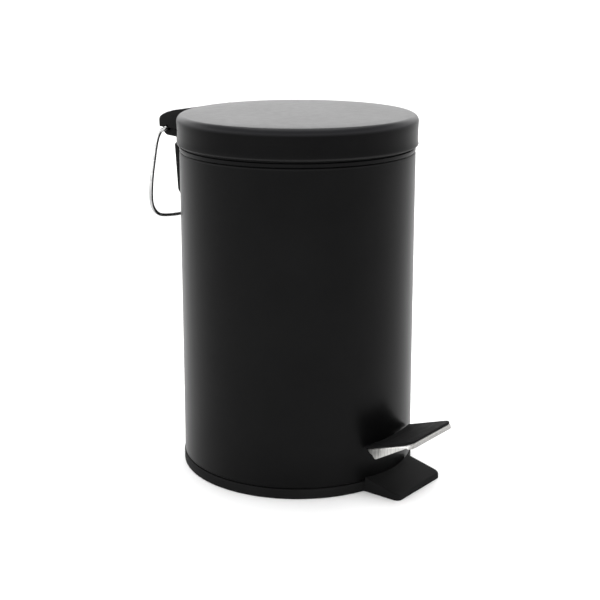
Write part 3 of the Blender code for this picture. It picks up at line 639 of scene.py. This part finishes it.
def make_step():
    """The fixed foot in front: rounded at its corners and along its top edge."""

    def outline(inset, rise=None):
        """The step's outline on the ground, or at a rise above its sloping top."""
        half, front = STEP_HALF_WIDTH - inset, STEP_FRONT_Y + inset
        radius = STEP_CORNER_R - inset * 0.6
        corners = [(-half, front, radius), (half, front, radius), (half, STEP_REAR_Y, 0)]
        slope = (STEP_BODY_TOP - STEP_FRONT_TOP) / (STEP_BODY_Y - STEP_FRONT_Y)
        ring = []
        for x, y in rounded(corners + [(-half, STEP_REAR_Y, 0)]):
            top = STEP_FRONT_TOP + slope * min(y - STEP_FRONT_Y, STEP_RAMP_LENGTH)
            ring.append((x, y, 0.0 if rise is None else top + rise))
        return ring

    rings = [outline(0.0)]
    for k in range(7):
        turn = radians(90 * k / 6)
        rings.append(outline(STEP_EDGE_R * (1 - cos(turn)), STEP_EDGE_R * (sin(turn) - 1)))
    step = loft("step", rings)
    reach = BODY_R + STEP_GAP
    clearance = [(reach, BASE_RING_TOP), (reach, 30), (60, 30), (60, BASE_RING_TOP)]
    return cut(step, turned("body_clearance", clearance))


# --- the pedal ------------------------------------------------------------------------------------


def tray_outline(inset, z):
    half, front = TRAY_HALF_WIDTH - inset, -(TRAY_LENGTH - inset)
    radius = max(TRAY_CORNER_R - inset, 1.0)
    corners = [(-half, 6, 0), (-half, front, radius), (half, front, radius), (half, 6, 0)]
    return [(x, y, z) for x, y in rounded(corners)]


def rounded_slab(name, inset, low, top, edge, under=0.0):
    """The tray's outline as a slab whose upper edge is rounded, and its lower one if asked."""
    rings = []
    if under:
        for k in range(5):
            turn = radians(90 * k / 4)
            rings.append(tray_outline(inset + under * (1 - sin(turn)), low + under * (1 - cos(turn))))
    else:
        rings.append(tray_outline(inset, low))
    for k in range(9):
        turn = radians(90 * k / 8)
        rings.append(tray_outline(inset + edge * (1 - cos(turn)), top - edge * (1 - sin(turn))))
    return loft(name, rings)


def curve_rear(obj, clearance):
    """Cuts a pedal piece's rear edge to an arc that keeps clear of the body."""
    radius = BODY_R + clearance
    return cut(obj, turned("rear_cutter", [(0, 0), (radius, 0), (radius, 60), (0, 60)]))


def make_tray(steel):
    """A pressed tray: a flat top, a turned-down front lip and side flanges that deepen to the rear."""
    top = -(PAD_THICKNESS + PAD_GAP)
    tray = rounded_slab("pedal_pan", 0.0, -12, top, 1.3)
    profile = [(6, 0)]
    profile += arc(-2.9, -1.4, 5.2, -6, -62, 10)
    profile += [(-1.4, -8.9), (-2.7, -9.3), (-30.0, -3.7), (-31.0, -4.6), (-32.2, -5.0)]
    profile += [(-TRAY_LENGTH - 2, -5.0), (-TRAY_LENGTH - 2, 0)]
    keep_inside(tray, prism("tray_side", profile, "X", -40, 40))
    cutters = [rounded_slab("tray_hollow", TRAY_SHEET, -14, top - TRAY_SHEET, 0.6)]
    for side in (-1, 1):
        hole = circle(side * PEDAL_RIVET_X, PEDAL_RIVET_BACK, PEDAL_RIVET_HOLE_R)
        cutters.append(prism("rivet_hole", hole, "Z", -8, 0))
    cut(tray, *cutters)
    on_slope(tray)
    curve_rear(tray, TRAY_CLEARANCE)
    soften(tray, 0.18, 2)
    show(tray, "pedal", ["pedal_tray"], steel)


def make_pad(rubber):
    """The tread: a thin pad that lies on the tray, just inside its edge."""
    pad = on_slope(rounded_slab("pedal_tread", 0.35, -PAD_THICKNESS, 0, 0.8, 0.25))
    curve_rear(pad, PAD_CLEARANCE)
    soften(pad, 0.3, 2, 60)
    show(pad, "pedal", ["pedal_pad"], rubber)


# --- lid ------------------------------------------------------------------------------------------


def make_lid(coat):
    """The pressed lid: a nearly flat top, a soft shoulder and a skirt with a folded hem, which rises a
    little towards the hinge."""
    shoulder_z = LID_TOP - LID_SHOULDER_R - 0.5
    outside = [(0, LID_TOP)] + [(r, LID_TOP - 0.2 * (r / 60) ** 2) for r in (15, 30, 45, 60, 70)]
    outside += arc(LID_R - LID_SHOULDER_R, shoulder_z, LID_SHOULDER_R, 84, 3, 16)
    outside += [(LID_R - 0.35, 247.0), (LID_R - 0.42, 241.0), (LID_R - 0.42, 237.5)]
    hem = arc(LID_R - 0.55, LID_HEM_Z + 0.55, 0.55, 20, -190, 10)
    inside = [(LID_R - 1.0, 237.0), (LID_R - 1.0, 244.0)]
    inside += arc(LID_R - LID_SHOULDER_R, shoulder_z, LID_SHOULDER_R - SHEET, 4, 84, 10)
    inside += [(60, LID_TOP - 0.2 - SHEET), (0, LID_TOP - SHEET)]
    lid = turned("lid_cover", outside + hem + inside)
    for vertex in lid.data.vertices:
        if vertex.co.z < (LID_HEM_Z + HEM_HEIGHT) * MM:
            vertex.co.z += HEM_RISE * MM * (0.5 + 0.5 * vertex.co.y / (LID_R * MM))
    cutters = []
    for side in (-1, 1):
        cutters.append(prism("rivet_hole", circle(side * RIVET_X, RIVET_Z, FIXING_HOLE_R), "Y", 70, 95))
    show(cut(lid, *cutters), "lid", ["lid_shell"], coat)


# --- wires ----------------------------------------------------------------------------------------


def make_handle(chrome):
    """The carry handle: from its pivot in one ear down, across behind the bin and up to the other."""
    half = [
        (33.4, 103.6, 237.4),
        (36.0, 104.6, 230.5),
        (40.0, 104.0, 217.0),
        (43.8, 103.0, 203.0),
        (45.6, 102.2, 190.0),
        (44.2, 101.8, 182.4),
        (39.0, 101.6, 177.0),
        (30.0, 101.4, 174.6),
        (15.0, 101.2, 173.4),
        (0.0, 101.0, 173.0),
    ]
    stub = [(25.9, HINGE_Y, HINGE_Z), (30.3, HINGE_Y, HINGE_Z), (32.0, HINGE_Y + 1.2, HINGE_Z - 1.1)]
    knots = stub + half + [(-x, y, z) for x, y, z in half[-2::-1]]
    knots += [(-x, y, z) for x, y, z in stub[::-1]]
    show(wire("handle_wire", smooth_path(knots), WIRE_R), "handle", ["carry_handle"], chrome)


def make_bail(chrome):
    """The bucket's wire handle, lying round the front of its flange."""
    path = [(-80.0, BUCKET_Y, BAIL_Z), (-75.5, BUCKET_Y, BAIL_Z)]
    path += [(x, y, BAIL_Z) for x, y in arc(0, BUCKET_Y, BAIL_SWEEP_R, 184, 356, 72)]
    path += [(75.5, BUCKET_Y, BAIL_Z), (80.0, BUCKET_Y, BAIL_Z)]
    show(wire("bail_wire", path, BAIL_R), "bail", ["bucket_bail"], chrome)


def make_rod(zinc):
    """A wire rod whose two ends turn through the lid arm's hole and the lever's slot."""
    side, bend, hook_end = -5.0, 2.5, 4.0
    foot_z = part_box("push_rod")[0].z / MM + ROD_R
    path = [(hook_end, ROD_Y, foot_z)]
    path += [(x, ROD_Y, z) for x, z in arc(side + bend, foot_z + bend, bend, -90, -180)]
    path += [(x, ROD_Y, z) for x, z in arc(side + bend, ROD_TOP_Z - bend, bend, 180, 90)]
    path.append((hook_end, ROD_Y, ROD_TOP_Z))
    show(wire("rod_wire", path, ROD_R), "rod", ["push_rod"], zinc)


# --- bucket ---------------------------------------------------------------------------------------


def make_bucket(plastic):
    """The inner bucket: its flange hangs on the rim, with two ears for the bail and a notch for the
    lid's arm."""
    top = FLANGE_Z + FLANGE_THICKNESS
    outside = [(0, BUCKET_BOTTOM)] + arc(BUCKET_FOOT_R - 4, BUCKET_BOTTOM + 4, 4, -90, -8, 8)
    outside += [(BUCKET_R, FLANGE_Z), (BUCKET_R, top)]
    bucket = turned("bucket_shell", outside + [(0, top)], (0.0, BUCKET_Y))
    flange = [(0, FLANGE_Z)] + arc(FLANGE_R - 0.6, FLANGE_Z + 0.75, 0.75, -90, 90, 8) + [(0, top)]
    helpers = [turned("flange", [(min(r, FLANGE_R), z) for r, z in flange])]
    for side in (-1, 1):
        ear = arc(BUCKET_Y, BAIL_Z, EAR_R, -10, 190, 24)
        ear += [(BUCKET_Y - 5.5, EAR_FOOT_Z), (BUCKET_Y + 5.5, EAR_FOOT_Z)]
        helpers.append(prism("bail_ear", ear, "X", *sorted((side * EAR_INNER_X, side * EAR_OUTER_X))))
    join(bucket, *helpers)
    hollow = [(0, BUCKET_BOTTOM + 1.6)]
    hollow += arc(BUCKET_FOOT_R - 5, BUCKET_BOTTOM + 5.2, 3.6, -90, -8, 8)
    rim = BUCKET_R - BUCKET_WALL
    hollow += [(rim, FLANGE_Z)] + [(rim + 0.8 - r, z) for r, z in arc(0, top - 0.7, 0.8, 0, 80, 5)]
    hollow += [(rim + 1.2, 244), (0, 244)]
    notch = oblong(-NOTCH_HALF_WIDTH, NOTCH_HALF_WIDTH, NOTCH_Y, 95, 3)
    cut(
        bucket,
        turned("cavity", hollow, (0.0, BUCKET_Y)),
        prism("arm_notch", notch, "Z", 235, 250),
        prism("bail_hole", circle(BUCKET_Y, BAIL_Z, BAIL_R + 0.3), "X", -90, 90),
    )
    show(bucket, "bucket", ["inner_bucket"], plastic)


# --- fittings -------------------------------------------------------------------------------------


def make_fittings(plastic, zinc):
    """The pieces whose CAD shape is kept, with rounded edges."""
    refined("hinge_bracket", "bin", plastic, 0.5)
    refined("lid_hinge_hood", "lid", plastic, 0.5)
    refined("pedal_lever", "pedal", zinc, 0.2)
    refined("lid_arm", "lid", zinc, 0.15)
    for node in ("hinge_pin", "pedal_pin", "pedal_pin_clip"):
        refined(node, "bin", zinc, 0.15)
    pairs = {"bracket_screw": "bin", "bracket_washer": "bin", "lid_rivet": "lid", "pedal_rivet": "pedal"}
    for fixing, body in pairs.items():
        for side in ("left", "right"):
            refined(f"{fixing}_{side}", body, zinc, 0.15)
    for end in ("top", "bottom"):
        refined("rod_clip_" + end, "rod", zinc, 0.15)


def main():
    make_camera()
    make_studio()
    coat, plastic, zinc = powder_coat(), moulded_black(), zinc_steel()
    make_body(coat)
    make_base(plastic)
    make_tray(brushed_steel())
    make_pad(pedal_rubber())
    make_lid(powder_coat("lid_coat", 0.048))
    make_handle(chrome_wire())
    make_bail(chrome_wire("bail_wire", (0.68, 0.68, 0.67)))
    make_rod(zinc)
    make_bucket(moulded_black("bucket_plastic", 0.42))
    make_fittings(plastic, zinc)


main()
